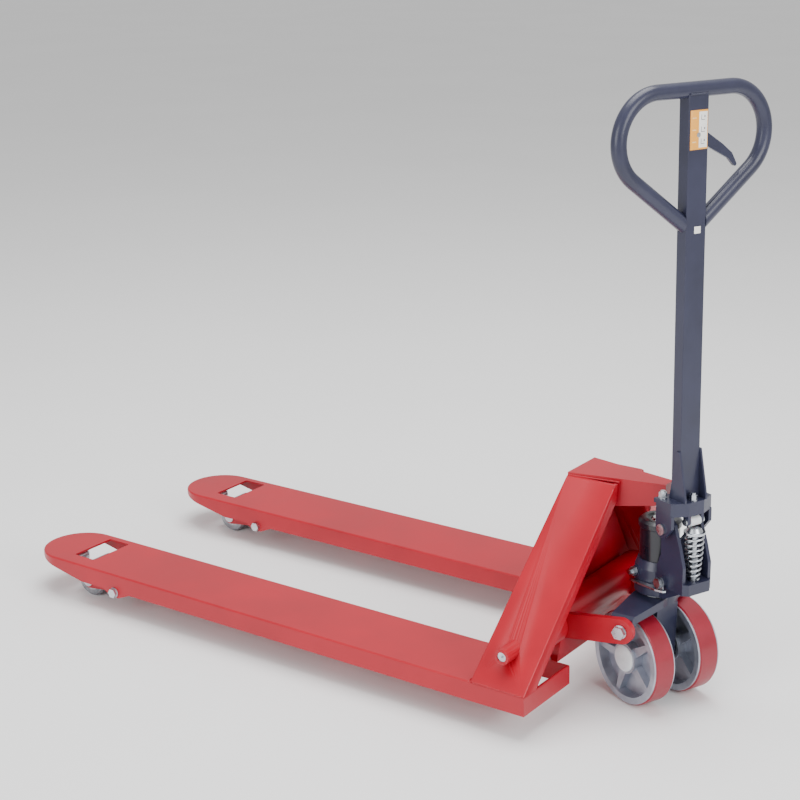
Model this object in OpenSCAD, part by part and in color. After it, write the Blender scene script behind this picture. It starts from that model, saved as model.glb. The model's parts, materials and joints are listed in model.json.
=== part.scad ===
// Hand pallet truck with two forks, a twin-wheel hydraulic pump unit and a pull-down handle.
// Millimetres. +X points to the operator, +Z up, origin on the floor under the middle of the truck.

/* [Forks] */
// Width over both forks
overall_w = 620; // [540:5:690]
// Width of one fork
fork_w = 160; // [145:1:185]
// Fork length from tip to upright
fork_len = 1146; // [900:1:1400]
// Height of the fork tops when lowered
fork_h = 90; // [88:0.5:96]
// Depth of the fork's side flange
fork_depth = 38; // [34:0.5:42]
// Thickness of the fork plate
fork_t = 4; // [3:0.5:5]
// Length of the roller window in each fork
window_l = 57.5; // [45:0.5:70]
// Distance from fork tip to the roller window
window_back = 106; // [98:1:115]

/* [Uprights and head] */
// Length of an upright's foot along the fork
foot_l = 113; // [104:1:125]
// Height of the head's top face
head_h = 421; // [405:1:440]
// Half width of the head at its front edge
head_front_half = 50; // [44:1:58]
// Half width of the head over the ram
head_rear_half = 15; // [13:0.5:18]
// Plate thickness of uprights and head
upright_t = 6; // [5:0.5:8]

/* [Lifting gear] */
// Height that the forks rise
lift_h = 90; // [75:1:95]
// Height of the heel shaft above the floor
shaft_z = 149; // [146:0.5:152]
// Diameter of the heel shaft
shaft_d = 18; // [16:0.5:20]
// Distance from heel shaft to base bolt along the truck
arm_run = 144; // [138:1:150]
// Height of the base bolt above the heel shaft
arm_rise = 21; // [17:0.5:25]
// Outer diameter of the torsion tube
torsion_d = 72; // [64:1:76]
// Length of the load wheel arm along the fork
load_arm_run = 116; // [112:1:122]
// Height of the load arm's pivot
load_pivot_z = 50; // [48:0.5:52]
// Diameter of the load wheel
load_wheel_d = 74; // [68:1:76]
// Width of the load wheel
load_wheel_w = 70; // [60:1:80]

/* [Steering and pump] */
// Angle that the steered unit is turned from straight ahead, in degrees
steer_angle = 22.75; // [0:0.25:40]
// Diameter of the steer wheels
steer_wheel_d = 180; // [170:1:182]
// Width of one steer wheel
steer_wheel_w = 48; // [44:1:50]
// Gap between the two steer wheels
wheel_gap = 56; // [50:1:60]
// Diameter of the wheel axle
axle_d = 20; // [18:0.5:22]
// Diameter of the pump cylinder
cylinder_d = 73; // [66:1:78]
// Distance from kingpin to the pump's front face
pump_reach = 111; // [104:1:118]
// Half width of the pump's foot
pump_half = 33; // [31:0.5:36]

/* [Handle] */
// Height of the handle's hinge pin
hinge_z = 356; // [350:1:362]
// Distance from kingpin to the hinge pin
hinge_out = 58; // [55:0.5:61]
// Angle that the resting handle leans towards the forks, in degrees
handle_lean = 1; // [0:0.25:4]
// Height of the top of the grip
handle_top = 1141; // [1000:1:1300]
// Width over the grip
grip_w = 346; // [300:1:400]
// Diameter of the grip tube
grip_d = 27; // [24:0.5:32]
// Width of the square handle tube
tube_w = 43.5; // [38:0.5:50]
// Depth of the square handle tube
tube_depth = 24; // [20:0.5:30]

/* [Fits] */
// Running clearance round a turning shaft
run_clear = 0.06; // [0.03:0.01:0.1]
// Free gap between parts that pass each other
side_gap = 0.6; // [0.4:0.1:1]

/* [Hidden] */

$fn = 48;
eps = 0.01;
through = 400;

red = "#c8202c";
dark = "#4a4c66";
zinc = "#c9ccd2";
alloy = "#b9bcc8";
black = "#22222a";
tyre_red = "#b8333f";

// Handle bracket and handle
bracket_half = 47;
bracket_t = 7;
bracket_low = 385;
bracket_high = 402;
flange_t = 8;
tube_front = 76.3;
tube_mid = tube_front - tube_depth / 2;
tube_wall = 2.5;
tube_foot = bracket_high + flange_t;
grip_r = grip_d / 2;
grip_top = handle_top - grip_r;
bend_r = 79.5;
bend_y = grip_w / 2 - grip_r - bend_r;
bend_z = grip_top - bend_r;
joint_z = handle_top - 241;
lever_z = handle_top - 88;

// The truck along X
heel_len = fork_len + foot_l;
kingpin_from_upright = 211.5;
king_from_tip = fork_len + kingpin_from_upright;
rear_reach = (tube_mid - (bend_z - hinge_z) * sin(handle_lean)) * cos(steer_angle)
    + (grip_w / 2 - grip_r) * sin(steer_angle) + grip_r;
tip_x = -(king_from_tip + rear_reach) / 2;
upright_x = tip_x + fork_len;
heel_x = tip_x + heel_len;
king_x = tip_x + king_from_tip;
shaft_x = upright_x + 59;
fork_y = (overall_w - fork_w) / 2;
flange_z = fork_h - fork_depth;

// Upright: a flat plate leaning in from the fork's outer edge to the head
lean_in = overall_w / 2 - head_front_half;
upright_rise = head_h - fork_h;
upright_slope = atan(lean_in / upright_rise);
upright_len = norm([lean_in, upright_rise]);
top_shift = 45;
top_l = 101;
rim = 30;
boss_y = overall_w / 2 - 11;
seat = 0.3;

// Lifting gear, as points [x, z] in the truck's long plane
arm_len = norm([arm_run, arm_rise]);
arm_angle_low = asin(arm_rise / arm_len);
arm_angle_high = asin((arm_rise - lift_h) / arm_len);
rocker_sweep = arm_angle_low - arm_angle_high;
arm_y = 122;
arm_t = 12;
arm_r = 24;
bolt_d = 16;
bolt_x = shaft_x + arm_run;
bolt_z = shaft_z + arm_rise;

load_pivot_x = tip_x + 256;
load_wheel_r = load_wheel_d / 2;
load_axle_x = load_pivot_x - load_arm_run;
load_drop = load_pivot_z - load_wheel_r;
load_arm_len = norm([load_arm_run, load_drop]);
load_sweep = asin((load_drop + lift_h) / load_arm_len) - asin(load_drop / load_arm_len);
crank_r = 25;
crank_x = load_pivot_x + crank_r * sin(load_sweep / 2);
crank_z = load_pivot_z + crank_r * cos(load_sweep / 2);
rod_travel = 2 * crank_r * sin(load_sweep / 2);
lug_r = rod_travel / (2 * sin(rocker_sweep / 2));
lug_x = shaft_x + lug_r * sin(rocker_sweep / 2);
lug_z = shaft_z - lug_r * cos(rocker_sweep / 2);
rod_pin_d = 10;
load_bolt_d = 12;
load_axle_d = 20;
bearing_od = 47;
bearing_w = 14;
arm_plate_t = 6;
arm_plate_y = load_wheel_w / 2 + 1.2;

// Steered unit, in its own straight-ahead frame: +X towards the operator
wheel_r = steer_wheel_d / 2;
wheel_in = wheel_gap / 2;
wheel_out = wheel_in + steer_wheel_w;
tyre_t = 7;
hub_lip = 3;
neck_r = 20;
yoke_z = wheel_r * 2 + 3.5;
yoke_t = 16;
yoke_rise = 8;
bearing_z = yoke_z + yoke_rise + yoke_t;
thrust_t = 5;
pump_z = bearing_z + thrust_t;
cyl_z = pump_z + 63.5;
cap_z = cyl_z + 59;
cap_top = cap_z + 17;
ram_d = 34;
spigot_r = 8;
socket_r = 14.5;
foot_top = pump_z + 48.5;
spring_out = 93;
spring_r = 18;
wire_r = 2.2;
spring_turns = 8.5;
spring_top = 350;
barrel_r = 7.8;
barrel_top = 306;
plunger_r = 5;
cheek_t = 7;
cheek_back = sqrt(pow(cylinder_d / 2 + 5, 2) - pow(pump_half - cheek_t, 2));
pin_d = 14;

// ---- shared shapes ----

// Children turned into the steered unit's place
module steered() {
    translate([king_x, 0, 0]) rotate([0, 0, -steer_angle]) children();
}

// Children leaning with the handle about its hinge pin
module on_handle() {
    steered() translate([hinge_out, 0, hinge_z]) rotate([0, -handle_lean, 0])
        translate([-hinge_out, 0, -hinge_z]) children();
}

// Left side is -Y; side = 1 gives the right-hand copy
module on_side(side) {
    if (side > 0) mirror([0, 1, 0]) children();
    else children();
}

// A flat outline in X-Z, extruded from y0 towards +Y
module slab_y(y0, t) {
    translate([0, y0 + t, 0]) rotate([90, 0, 0]) linear_extrude(t) children();
}

// A cylinder along Y
module rod_y(x, z, y0, len, d) {
    translate([x, y0 + len, z]) rotate([90, 0, 0]) cylinder(h = len, d = d);
}

// A hexagon head or nut along Y
module hex_y(x, z, y0, len, across) {
    translate([x, y0 + len, z]) rotate([90, 0, 0]) cylinder(h = len, d = across / cos(30), $fn = 6);
}

// A ring about Z between two radii
module ring(r_in, r_out, z0, h) {
    translate([0, 0, z0]) difference() {
        cylinder(h = h, r = r_out);
        translate([0, 0, -1]) cylinder(h = h + 2, r = r_in);
    }
}

// A ring about an axis along Y
module ring_y(x, z, y0, len, r_in, r_out) {
    translate([x, y0 + len, z]) rotate([90, 0, 0]) ring(r_in, r_out, 0, len);
}

// Outline of a link between two round ends, as tangent lines and two circles
module link(p, rp, q, rq) {
    d = q - p;
    dir = atan2(d[1], d[0]);
    tilt = acos((rp - rq) / norm(d));
    translate(p) circle(r = rp);
    translate(q) circle(r = rq);
    polygon([for (e = [[p, rp, 1], [p, rp, -1], [q, rq, -1], [q, rq, 1]])
        e[0] + e[1] * [cos(dir + e[2] * tilt), sin(dir + e[2] * tilt)]]);
}

// Rectangle with round corners
module round_rect(size, r) {
    translate([r, 0]) square([size[0] - 2 * r, size[1]]);
    translate([0, r]) square([size[0], size[1] - 2 * r]);
    for (x = [r, size[0] - r], y = [r, size[1] - r]) translate([x, y]) circle(r = r);
}

// ---- forks ----

// Plan of a fork centred on y = 0 from its tip; inset shrinks it all round
module fork_plan(inset) {
    r = fork_w / 2;
    translate([tip_x + r, 0]) circle(r = r - inset, $fn = 96);
    translate([tip_x + r, inset - r]) square([heel_len - r - inset, fork_w - 2 * inset]);
}

// Ears below the flanges that carry the load arm's bolt
module pivot_ear() {
    polygon([
        [load_pivot_x - 34, flange_z + 1], [load_pivot_x - 12, load_pivot_z - 11],
        [load_pivot_x + 12, load_pivot_z - 11], [load_pivot_x + 44, flange_z + 1]
    ]);
}

// One fork: a folded plate with a rounded nose, roller window, open heel and two cross straps
module fork(y_mid) {
    half = fork_w / 2;
    window_y = [36, 17.6];
    heel_open = heel_x - upright_x - 8 - fork_t;
    color(red) translate([0, y_mid, 0]) difference() {
        union() {
            translate([0, 0, flange_z]) difference() {
                linear_extrude(fork_depth) fork_plan(0);
                translate([0, 0, -1]) linear_extrude(fork_depth - fork_t + 1) fork_plan(fork_t);
            }
            for (y = [-half, half - fork_t]) slab_y(y, fork_t) pivot_ear();
            for (x = [0.38, 0.62]) translate([tip_x + x * heel_len, fork_t - half, flange_z])
                cube([40, fork_w - 2 * fork_t, fork_t]);
            slab_y(-half, fork_w) polygon([
                [heel_x - fork_t, flange_z], [heel_x, flange_z], [heel_x, fork_h], [heel_x - fork_t, fork_h]
            ]);
        }
        // the flange runs out towards the tip
        slab_y(-half - 1, fork_w + 2) polygon([
            [tip_x - 1, flange_z - 1], [tip_x + 158, flange_z - 1], [tip_x + 158, flange_z],
            [tip_x + 22, fork_h - 11], [tip_x - 1, fork_h - 11]
        ]);
        translate([tip_x + window_back, window_y[0] - half, fork_h - fork_t - 1]) linear_extrude(fork_t + 2)
            round_rect([window_l, fork_w - window_y[0] - window_y[1]], 4);
        translate([upright_x + 8, fork_t - half, fork_h - fork_t - 1])
            cube([heel_open, fork_w - 2 * fork_t, fork_t + 2]);
        rod_y(load_pivot_x, load_pivot_z, -half - 1, fork_w + 2, load_bolt_d);
        // seat of the upright
        translate([upright_x - 2, -half - 1, fork_h - seat])
            cube([foot_l + 20, fork_w + 2, seat + 1]);
    }
}

module fork_left() { fork(-fork_y); }
module fork_right() { fork(fork_y); }

// ---- uprights, head and panel ----

// Left upright: leaning plate with inward rims and the heel shaft's boss
module upright() {
    shaft_plate_y = -(overall_w / 2 - (shaft_z - fork_h) * lean_in / upright_rise);
    color(red) difference() {
        union() {
            difference() {
                translate([0, -overall_w / 2, fork_h]) rotate([90 - upright_slope, 0, 0])
                    translate([0, 0, -rim])
                difference() {
                    linear_extrude(rim) polygon([
                        [upright_x, -40], [upright_x, 0], [upright_x + top_shift, upright_len],
                        [upright_x + top_shift + top_l, upright_len], [heel_x, 0], [heel_x, -40]
                    ]);
                    translate([0, 0, -1]) linear_extrude(rim - upright_t + 1) polygon([
                        [upright_x + upright_t, -50], [upright_x + upright_t, 0],
                        [upright_x + top_shift + upright_t, upright_len + 10],
                        [upright_x + top_shift + top_l - upright_t, upright_len + 10],
                        [heel_x - upright_t, 0], [heel_x - upright_t, -50]
                    ]);
                }
                translate([upright_x - 10, -overall_w, fork_h - seat - 200])
                    cube([foot_l + 60, 2 * overall_w, 200]);
                translate([upright_x - 10, -overall_w / 2 - 20, 0]) cube([foot_l + 60, 20, fork_h + 40]);
                linear_extrude(head_h) head_plan(-0.05);
                translate([upright_x - 10, -overall_w, head_h - upright_t]) cube([200, 2 * overall_w, 100]);
                translate([upright_x - 10, -head_front_half + upright_t, fork_h]) cube([300, 200, 400]);
            }
            rod_y(shaft_x, shaft_z, -boss_y, boss_y + shaft_plate_y + 22, 30);
        }
        rod_y(shaft_x, shaft_z, -overall_w / 2 - 1, 120, shaft_d);
    }
}

module upright_left() { on_side(-1) upright(); }
module upright_right() { on_side(1) upright(); }

// Plan of the head's tapering top
module head_plan(inset) {
    x0 = upright_x + top_shift;
    x1 = king_x + 16;
    polygon([
        [x0, inset - head_front_half], [x1 - inset, inset - head_rear_half],
        [x1 - inset, head_rear_half - inset], [x0, head_front_half - inset]
    ]);
}

// Head: top plate, tapering side webs, nose and the cup that the ram pushes on
module head() {
    x0 = upright_x + top_shift;
    x1 = king_x + 16;
    web_low = head_h - 54;
    nose_low = head_h - 40;
    cup_h = 9;
    color(red) difference() {
        union() {
            intersection() {
                difference() {
                    translate([0, 0, web_low - 20]) linear_extrude(head_h - web_low + 20) head_plan(0);
                    translate([0, 0, web_low - 30]) linear_extrude(head_h - web_low + 30 - upright_t)
                        head_plan(upright_t - 1);
                }
                slab_y(-100, 200) polygon([
                    [x0, web_low], [x0 + 88, web_low], [x1, nose_low], [x1, head_h], [x0, head_h]
                ]);
            }
            // stop rib ahead of the ram
            slab_y(-3, 6) polygon([
                [king_x - 38, head_h - upright_t + 1], [king_x - 36, nose_low - 2],
                [king_x - 27, nose_low - 22], [king_x - 22, nose_low - 22],
                [king_x - 19, nose_low - 2], [king_x - 19, head_h - upright_t + 1]
            ]);
            intersection() {
                translate([king_x, 0, nose_low]) cylinder(h = head_h - upright_t - nose_low, r = socket_r + 3);
                translate([0, 0, nose_low - 1]) linear_extrude(head_h - nose_low) head_plan(0);
            }
        }
        translate([king_x, 0, nose_low - 1]) cylinder(h = cup_h + 1, r = socket_r);
    }
}

// Panel that closes the front of the frame between the uprights
module back_panel() {
    z0 = 160;
    z1 = head_h - 60;
    lean_back = atan(top_shift / upright_rise);
    half_at = function(z) overall_w / 2 - (z - fork_h) * lean_in / upright_rise - 12;
    color(red) translate([upright_x + upright_t + 3.2, 0, fork_h]) rotate([0, lean_back, 0])
        rotate([90, 0, 90]) linear_extrude(4) polygon([
            [-half_at(z0), z0 - fork_h], [half_at(z0), z0 - fork_h],
            [half_at(z1), z1 - fork_h], [-half_at(z1), z1 - fork_h]
        ]);
}

// Shaft through both uprights that the rocker turns on
module heel_shaft() {
    color(zinc) rod_y(shaft_x, shaft_z, 1.5 - boss_y, 2 * boss_y - 3, shaft_d);
}

// Grease nipples in the shaft's ends
module grease_nipples() {
    color(zinc) for (side = [-1, 1]) on_side(side) {
        rod_y(shaft_x, shaft_z, -boss_y, 1.5, 6);
        rod_y(shaft_x, shaft_z, -boss_y - 2, 2, 4);
    }
}

entry_x = tip_x + 70;
entry_z = 61;
entry_r = 16;
entry_w = 34;

// Small roller under a fork's nose that helps it into a pallet
module entry_roller(y_mid) {
    color(zinc) ring_y(entry_x, entry_z, y_mid - entry_w / 2, entry_w, 5 + run_clear, entry_r);
}

module entry_roller_left() { entry_roller(-fork_y); }
module entry_roller_right() { entry_roller(fork_y); }

// Pins and hangers of the small rollers
module entry_roller_pins() {
    color(zinc) for (y = [-fork_y, fork_y]) {
        rod_y(entry_x, entry_z, y - entry_w / 2 - 8, entry_w + 16, 10);
        for (s = [-1, 1]) difference() {
            slab_y(y + s * (entry_w / 2 + 3.5) - 2.5, 5) union() {
                translate([entry_x, entry_z]) circle(r = 10);
                translate([entry_x - 10, entry_z]) square([20, fork_h - fork_t - entry_z]);
            }
            rod_y(entry_x, entry_z, y - entry_w, 2 * entry_w, 10);
        }
    }
}

// ---- rocker and push rods ----

lug_y = fork_y;
lug_t = 12;
tube_half = fork_y - 26;
sleeve_r = 18;
bush_r = 14;

// Rocker: torsion tube on the heel shaft, two arms to the base and two lugs for the push rods
module rocker() {
    apron_x = shaft_x + 13;
    color(red) difference() {
        union() {
            rod_y(shaft_x, shaft_z, -tube_half, 2 * tube_half, torsion_d);
            for (s = [-1, 1]) {
                slab_y(s * arm_y - arm_t / 2, arm_t)
                    link([shaft_x, shaft_z], arm_r, [bolt_x, bolt_z], arm_r);
                slab_y(s * lug_y - lug_t / 2, lug_t) link([shaft_x, shaft_z], sleeve_r, [lug_x, lug_z], 12);
                rod_y(shaft_x, shaft_z, s * (tube_half + lug_y) / 2 - (lug_y - tube_half) / 2,
                    lug_y - tube_half, 2 * sleeve_r);
            }
            slab_y(-140, 280) polygon([
                [apron_x - 14, shaft_z - 20], [apron_x + 18, shaft_z - 8],
                [apron_x + 8, 82], [apron_x, 74], [apron_x - 22, 74], [apron_x - 22, 82], [apron_x - 4, 82]
            ]);
        }
        // hollow of the torsion tube
        rod_y(shaft_x, shaft_z, 10 - tube_half, 2 * tube_half - 20, torsion_d - 12);
        rod_y(shaft_x, shaft_z, -through, 2 * through, 2 * bush_r);
        for (s = [-1, 1]) {
            rod_y(bolt_x, bolt_z, s * arm_y - arm_t, 2 * arm_t, bolt_d + 2 * run_clear);
            rod_y(lug_x, lug_z, s * lug_y - lug_t, 2 * lug_t, rod_pin_d);
        }
    }
}

// Bronze bushes pressed into the rocker's ends
module rocker_bushes() {
    bush_l = 36;
    color("#b08d57") for (s = [-1, 1])
        ring_y(shaft_x, shaft_z, s * (lug_y + lug_t / 2 - bush_l / 2) - bush_l / 2, bush_l,
            shaft_d / 2 + run_clear, bush_r);
}

// Pins that join the push rods to the rocker's lugs
module rod_pins() {
    color(zinc) for (s = [-1, 1]) {
        rod_y(lug_x, lug_z, s * lug_y - 15, 30, rod_pin_d);
        rod_y(lug_x, lug_z, s * lug_y - 17.5, 2.5, rod_pin_d + 6);
        rod_y(lug_x, lug_z, s * lug_y + 15, 2.5, rod_pin_d + 6);
    }
}

rod_d = 16;
rod_z = fork_h - fork_t - rod_d / 2 - 5;
ear_t = 6;
ear_in = lug_t / 2 + side_gap;
eye_t = 12;
// the eye rides half the two cranks' rise above the pin, so that the pin stays inside it all the way
eye_lift = (crank_r * (1 - cos(load_sweep / 2)) + lug_r * (1 - cos(rocker_sweep / 2))) / 2;
eye_play = 0.45;
eye_r = 10.8;

// Push rod: a cranked fork end at the rocker, a long bar in the fork and a slotted eye at the load arm
module push_rod(y_mid) {
    eye_z = crank_z + eye_lift;
    color(red) translate([0, y_mid, 0]) difference() {
        union() {
            for (s = [-1, 1]) slab_y(s * (ear_in + ear_t / 2) - ear_t / 2, ear_t)
                link([lug_x, lug_z], 11, [lug_x - 2, rod_z], 8);
            translate([lug_x - 10, -ear_in - ear_t, rod_z - 8]) cube([16, 2 * (ear_in + ear_t), 16]);
            translate([crank_x + 20, 0, rod_z]) rotate([0, 90, 0])
                cylinder(h = lug_x - crank_x - 20, d = rod_d);
            slab_y(-eye_t / 2, eye_t) link([crank_x, eye_z], eye_r, [crank_x + 34, rod_z], 8);
        }
        rod_y(lug_x, lug_z, -30, 60, rod_pin_d + 2 * run_clear);
        rod_y(crank_x, eye_z, -30, 60, rod_pin_d + 2 * (eye_lift + eye_play));
    }
}

module push_rod_left() { push_rod(-fork_y); }
module push_rod_right() { push_rod(fork_y); }

// ---- load wheels ----

// Load arm: two cheek plates, a pivot sleeve and the crank that the push rod turns
module load_arm(y_mid) {
    sleeve_half = fork_w / 2 - fork_t - side_gap;
    crank_in = eye_t / 2 + side_gap;
    color(red) translate([0, y_mid, 0]) difference() {
        union() {
            for (s = [-1, 1]) {
                slab_y(s * (arm_plate_y + arm_plate_t / 2) - arm_plate_t / 2, arm_plate_t)
                    link([load_axle_x, load_wheel_r], 17, [load_pivot_x, load_pivot_z], 15);
                slab_y(s * (crank_in + 5) - 5, 10)
                    link([load_pivot_x, load_pivot_z], 14, [crank_x, crank_z], 9.5);
            }
            rod_y(load_pivot_x, load_pivot_z, -sleeve_half, 2 * sleeve_half, load_bolt_d + 10);
        }
        rod_y(load_pivot_x, load_pivot_z, -through, 2 * through, load_bolt_d + 2 * run_clear);
        rod_y(load_axle_x, load_wheel_r, -through, 2 * through, load_axle_d);
    }
    color(red) translate([0, y_mid, 0])
        rod_y(crank_x, crank_z, -crank_in - 10, 2 * crank_in + 20, rod_pin_d);
}

module load_arm_left() { load_arm(-fork_y); }
module load_arm_right() { load_arm(fork_y); }

// Hexagon bolts and nuts that the load arms turn on
module load_arm_bolts() {
    edge = fork_y + fork_w / 2;
    inner = fork_y - fork_w / 2;
    color(zinc) for (side = [-1, 1]) on_side(side) {
        rod_y(load_pivot_x, load_pivot_z, -edge - 1.5, fork_w + 3, load_bolt_d);
        rod_y(load_pivot_x, load_pivot_z, -edge - 1.5, 1.5, 22);
        hex_y(load_pivot_x, load_pivot_z, -edge - 8.5, 7, 18);
        hex_y(load_pivot_x, load_pivot_z, -inner, 8, 18);
    }
}

// Load wheel: a hard roller with a bearing seat in each end
module load_wheel(y_mid) {
    half = load_wheel_w / 2;
    bevel = 3;
    color(zinc) translate([load_axle_x, y_mid, load_wheel_r]) rotate([90, 0, 0]) rotate_extrude($fn = 96)
        polygon([
            [16, -half + bearing_w], [bearing_od / 2, -half + bearing_w], [bearing_od / 2, -half],
            [load_wheel_r - bevel, -half], [load_wheel_r, -half + bevel], [load_wheel_r, half - bevel],
            [load_wheel_r - bevel, half], [bearing_od / 2, half], [bearing_od / 2, half - bearing_w],
            [16, half - bearing_w]
        ]);
}

module load_wheel_left() { load_wheel(-fork_y); }
module load_wheel_right() { load_wheel(fork_y); }

// Two ball bearings, each drawn as one closed ring with shield grooves
module bearing_pair(half, od, bore) {
    for (s = [-1, 1]) translate([0, 0, s * (half - bearing_w / 2)]) rotate_extrude($fn = 72) polygon([
        [bore / 2 + run_clear, -bearing_w / 2], [bore / 2 + 4, -bearing_w / 2],
        [bore / 2 + 4.5, 1 - bearing_w / 2],
        [od / 2 - 4.5, 1 - bearing_w / 2], [od / 2 - 4, -bearing_w / 2], [od / 2, -bearing_w / 2],
        [od / 2, bearing_w / 2], [od / 2 - 4, bearing_w / 2], [od / 2 - 4.5, bearing_w / 2 - 1],
        [bore / 2 + 4.5, bearing_w / 2 - 1], [bore / 2 + 4, bearing_w / 2],
        [bore / 2 + run_clear, bearing_w / 2]
    ]);
}

module load_bearings(y_mid) {
    color(zinc) translate([load_axle_x, y_mid, load_wheel_r]) rotate([90, 0, 0])
        bearing_pair(load_wheel_w / 2, bearing_od, load_axle_d);
}

module load_bearings_left() { load_bearings(-fork_y); }
module load_bearings_right() { load_bearings(fork_y); }

// Load wheel axle with flat heads outside the arm's plates
module load_axle(y_mid) {
    half = arm_plate_y + arm_plate_t;
    color(zinc) translate([0, y_mid, 0]) {
        rod_y(load_axle_x, load_wheel_r, -half, 2 * half, load_axle_d);
        for (y = [-half - 3, half]) rod_y(load_axle_x, load_wheel_r, y, 3, load_axle_d + 6);
    }
}

module load_axle_left() { load_axle(-fork_y); }
module load_axle_right() { load_axle(fork_y); }

// ---- base and steering ----

ear_out = arm_y - arm_t / 2 - side_gap;
ear_w = 10;

// Base yoke: a folded strap over the wheels that hangs on the rocker's arms
module base_yoke() {
    flat = 36;
    low = yoke_z + yoke_t - 8;
    ear_r = 17;
    strap = [
        [-1, bearing_z], [flat, bearing_z], [ear_out - 5, low + 5], [ear_out, low],
        [ear_out, yoke_z - 8], [ear_out - ear_w, yoke_z - 8], [ear_out - ear_w, yoke_z - 1],
        [flat, yoke_z + yoke_rise], [-1, yoke_z + yoke_rise]
    ];
    color(dark) difference() {
        union() {
            intersection() {
                translate([king_x - 60, 0, 0]) rotate([90, 0, 90]) linear_extrude(120)
                    for (s = [0, 1]) mirror([s, 0]) polygon(strap);
                translate([king_x, 0, 0]) linear_extrude(2 * bearing_z) polygon([
                    [-34, -ear_out], [9, -ear_out], [30, -flat], [30, flat], [9, ear_out], [-34, ear_out]
                ]);
            }
            for (s = [-1, 1]) slab_y(s * (ear_out - ear_w / 2) - ear_w / 2, ear_w)
                link([bolt_x, bolt_z], ear_r, [bolt_x, low - ear_r - 1], ear_r + 1);
            translate([king_x, 0, yoke_z + yoke_rise]) cylinder(h = yoke_t, r = flat);
        }
        translate([king_x, 0, yoke_z - 50]) cylinder(h = 100, r = neck_r + run_clear);
        for (s = [-1, 1]) rod_y(bolt_x, bolt_z, s * ear_out - 20, 40, bolt_d);
    }
}

// Bolts that hinge the base yoke to the rocker's arms
module base_bolts() {
    outer = arm_y + arm_t / 2 + side_gap;
    inner = ear_out - ear_w;
    color(zinc) for (s = [-1, 1]) on_side(s) {
        rod_y(bolt_x, bolt_z, -outer, outer - inner, bolt_d);
        rod_y(bolt_x, bolt_z, -outer - 2, 2, bolt_d + 10);
        hex_y(bolt_x, bolt_z, -outer - 10, 8, 22);
    }
}

// Thrust bearing between base yoke and pump
module thrust_bearing() {
    r = 35;
    top = thrust_t - side_gap;
    color(zinc) translate([king_x, 0, bearing_z]) rotate_extrude($fn = 72) polygon([
        [neck_r + 4, 0], [r, 0], [r, 0.36 * top], [r - 1.5, 0.42 * top],
        [r - 1.5, 0.58 * top], [r, 0.64 * top], [r, top], [neck_r + 4, top]
    ]);
}

// Wheel carrier: the neck through the base and the block that holds the axle
module wheel_carrier() {
    block_top = yoke_z + yoke_rise - side_gap - 1;
    color(dark) steered() difference() {
        union() {
            translate([0, 0, block_top - 10]) cylinder(h = pump_z - block_top + 10 + 8, r = neck_r);
            slab_y(4 - wheel_in, wheel_gap - 8) union() {
                translate([0, wheel_r]) circle(r = 24);
                polygon([[-24, wheel_r], [24, wheel_r], [28, block_top], [-28, block_top]]);
            }
            rod_y(0, wheel_r, side_gap - wheel_in, wheel_gap - 2 * side_gap, axle_d + 12);
        }
        rod_y(0, wheel_r, -100, 200, axle_d);
    }
}

// Axle through both steer wheels
module wheel_axle() {
    color(zinc) steered() rod_y(0, wheel_r, -wheel_out - 2.6, 2 * wheel_out + 5.2, axle_d);
}

// Retaining rings on the axle's ends
module axle_rings() {
    color(zinc) steered() for (s = [-1, 1])
        ring_y(0, wheel_r, s * (wheel_out + 1.1) - 0.6, 1.2, axle_d / 2, axle_d / 2 + 4);
}

// Polyurethane tread of the left steer wheel
module steer_tyre() {
    shoulder = 2.5;
    low = wheel_r - tyre_t;
    far = steer_wheel_w - hub_lip;
    color(tyre_red) steered() translate([0, -wheel_in, wheel_r]) rotate([90, 0, 0])
        rotate_extrude($fn = 120) polygon([
            [low, hub_lip], [wheel_r - shoulder, hub_lip], [wheel_r, hub_lip + shoulder],
            [wheel_r, far - shoulder], [wheel_r - shoulder, far], [low, far]
        ]);
}

// Cast hub of the left steer wheel: rim, recessed web, boss and six ribs on each face
module steer_hub() {
    rim_r = wheel_r - tyre_t;
    rim_in = rim_r - 8;
    boss_r = bearing_od / 2 + 6;
    web_t = 9;
    mid = steer_wheel_w / 2;
    lip_r = wheel_r - 2.5;
    far = steer_wheel_w - hub_lip;
    ribs = 5;
    color(alloy) steered() translate([0, -wheel_in, wheel_r]) rotate([90, 0, 0]) difference() {
        union() {
            rotate_extrude($fn = 120) polygon([
                [rim_in, 0], [lip_r - 1, 0], [lip_r, 1], [lip_r, hub_lip], [rim_r, hub_lip],
                [rim_r, far], [lip_r, far], [lip_r, far + hub_lip - 1], [lip_r - 1, far + hub_lip],
                [rim_in, far + hub_lip], [rim_in - 3, mid + 6], [rim_in - 3, mid - 6]
            ]);
            translate([0, 0, mid - web_t / 2]) cylinder(h = web_t, r = rim_in + 1);
            cylinder(h = steer_wheel_w, r = boss_r);
            for (k = [0 : ribs - 1]) rotate([0, 0, k * 360 / ribs + 180])
                translate([0, 0, 5]) linear_extrude(steer_wheel_w - 10)
                    polygon([[boss_r - 3, -9], [rim_in + 2, -4.5], [rim_in + 2, 4.5], [boss_r - 3, 9]]);
        }
        translate([0, 0, -1]) cylinder(h = steer_wheel_w + 2, r = 15);
        for (z = [-1, steer_wheel_w - bearing_w])
            translate([0, 0, z]) cylinder(h = bearing_w + 1, r = bearing_od / 2);
    }
}

// The wheel pieces are built on the left; the right ones are mirrored about the unit's own middle plane
module wheel_side(side) {
    if (side < 0) children();
    else steered() mirror([0, 1, 0]) rotate([0, 0, steer_angle]) translate([-king_x, 0, 0]) children();
}

module steer_tyre_left() { wheel_side(-1) steer_tyre(); }
module steer_tyre_right() { wheel_side(1) steer_tyre(); }
module steer_hub_left() { wheel_side(-1) steer_hub(); }
module steer_hub_right() { wheel_side(1) steer_hub(); }

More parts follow.
